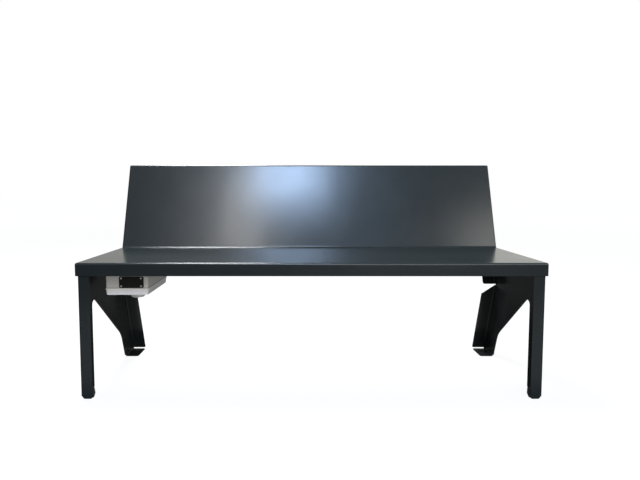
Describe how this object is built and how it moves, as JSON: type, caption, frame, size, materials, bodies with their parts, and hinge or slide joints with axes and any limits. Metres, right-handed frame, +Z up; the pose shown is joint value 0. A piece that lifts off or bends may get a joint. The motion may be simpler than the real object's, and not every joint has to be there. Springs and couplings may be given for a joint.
{
  "type": "heated bench",
  "caption": "Heated bench: a folded sheet seat and leaning back on two bent-plate legs, with heating mats under the sheet and a control box hung below the seat.",
  "frame": {"origin": "on the floor, under the middle of the bench's bounding box", "axes": "+X along the bench (the control box is at -X), +Y to the rear, where the back is, +Z up"},
  "size_m": [1.5, 0.5542, 0.774],
  "materials": {
    "powder_coat": "semi-gloss anthracite powder coat",
    "galvanised_sheet": "galvanised",
    "zinc_plate": "zinc plated",
    "stainless": "bright stainless",
    "mat_silicone": "silicone rubber with heating wire inside",
    "insulation_foam": "rigid foam",
    "potting": "cast resin",
    "lead_sheath": "silicone sheath",
    "seal_rubber": "soft seal",
    "box_coat": "light warm grey coat",
    "pale_plastic": "pale grey",
    "black_plastic": "matt black",
    "device_grey": "light grey housing"
  },
  "bodies": {
    "bench": {"arm_bolts": "zinc_plate", "arm_washers": "zinc_plate", "back_cover": "galvanised_sheet", "back_cover_screws": "zinc_plate", "back_heating_mat": "mat_silicone", "back_insulation": "insulation_foam", "back_lead": "lead_sheath", "back_mat_pot": "potting", "back_standoffs": "zinc_plate", "bottom_cover": "galvanised_sheet", "bottom_cover_screws": "zinc_plate", "box_body": "box_coat", "box_grommets": "seal_rubber", "box_nuts": "zinc_plate", "box_screws": "zinc_plate", "breaker_body": "device_grey", "din_rail": "galvanised_sheet", "entry_plate": "black_plastic", "entry_plate_gasket": "seal_rubber", "entry_plate_screws": "stainless", "front_seat_rail": "galvanised_sheet", "gland_dome_nut": "black_plastic", "gland_locknut": "black_plastic", "left_leg": "powder_coat", "lower_back_rail": "galvanised_sheet", "power_supply": "device_grey", "rail_grommets": "seal_rubber", "rear_seat_rail": "galvanised_sheet", "right_leg": "powder_coat", "seat_back_shell": "powder_coat", "seat_heating_mat": "mat_silicone", "seat_insulation": "insulation_foam", "seat_lead": "lead_sheath", "seat_mat_pot": "potting", "seat_studs": "zinc_plate", "stud_nuts": "zinc_plate", "stud_washers": "zinc_plate", "supply_gland": "black_plastic", "temperature_sensor": "stainless", "terminal_block": "device_grey", "thermostat_body": "device_grey", "upper_back_rail": "galvanised_sheet"},
    "lid": {"box_lid": "box_coat", "lid_gasket": "seal_rubber", "lid_screws": "zinc_plate", "lid_vent_cap": "pale_plastic"},
    "dial": {"thermostat_dial": "black_plastic"},
    "toggle": {"breaker_toggle": "black_plastic"}
  },
  "joints": [
    {"name": "lid_lift_off", "type": "slide", "parent": "bench", "child": "lid", "axis": [0, 0, -1], "range_m": [0, 0.08]},
    {"name": "dial_turn", "type": "hinge", "parent": "bench", "child": "dial", "pos_m": [-0.607, -0.14859, 0.3445], "axis": [0, 0, -1], "range_deg": [0, 270]},
    {"name": "toggle_throw", "type": "hinge", "parent": "bench", "child": "toggle", "pos_m": [-0.607, -0.18509, 0.353], "axis": [0, -1, 0], "range_deg": [0, 50]}
  ]
}
